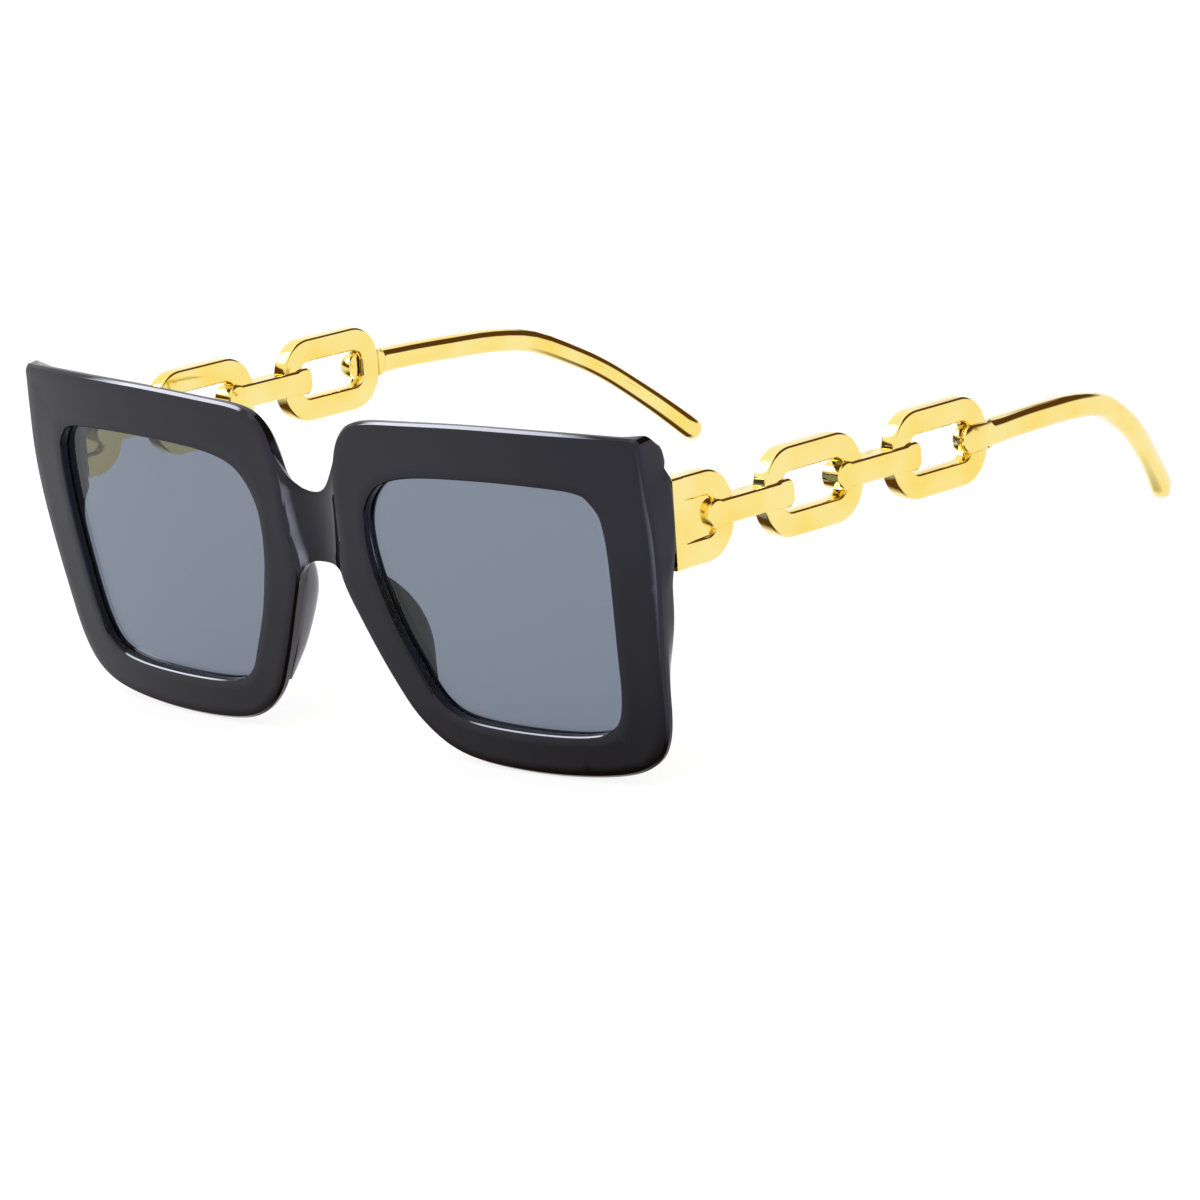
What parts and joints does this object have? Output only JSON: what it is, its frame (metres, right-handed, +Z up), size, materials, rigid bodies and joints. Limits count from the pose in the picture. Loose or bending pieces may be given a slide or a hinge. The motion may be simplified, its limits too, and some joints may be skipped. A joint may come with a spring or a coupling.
{
  "type": "square sunglasses",
  "caption": "Oversized square sunglasses: glossy dark moulded front, smoke lenses, and hinged arms made as a row of gold chain links that end in bent ear rods.",
  "frame": {"origin": "middle of the footprint, on the table that the open glasses stand on", "axes": "+Z up from the table; -Y the way the front faces and the wearer looks; +X to the wearer's left, so left_ nodes are at +X"},
  "size_m": [0.1482, 0.1484, 0.0593],
  "materials": {
    "black_acetate": "polished",
    "smoke_lens": "clear, tinted",
    "gold_metal": "polished gold plating",
    "black_metal": "black plating",
    "steel_screw": "turned"
  },
  "bodies": {
    "front": {"front_frame": "black_acetate", "left_lens": "smoke_lens", "right_lens": "smoke_lens", "left_nose_pad": "black_acetate", "right_nose_pad": "black_acetate", "left_front_hinge": "black_metal", "right_front_hinge": "black_metal", "left_hinge_screw": "steel_screw", "right_hinge_screw": "steel_screw"},
    "left_arm": {"left_end_plate": "gold_metal", "left_first_joiner": "gold_metal", "left_first_link": "gold_metal", "left_second_joiner": "gold_metal", "left_second_link": "gold_metal", "left_ear_rod": "gold_metal"},
    "right_arm": {"right_end_plate": "gold_metal", "right_first_joiner": "gold_metal", "right_first_link": "gold_metal", "right_second_joiner": "gold_metal", "right_second_link": "gold_metal", "right_ear_rod": "gold_metal"}
  },
  "joints": [
    {"name": "left_fold", "type": "hinge", "parent": "front", "child": "left_arm", "pos_m": [0.0688, -0.0625, 0.0422], "axis": [0, 0.1305, 0.9914], "range_deg": [0, 84]},
    {"name": "right_fold", "type": "hinge", "parent": "front", "child": "right_arm", "pos_m": [-0.0688, -0.0625, 0.0422], "axis": [0, -0.1305, -0.9914], "range_deg": [0, 64]}
  ]
}
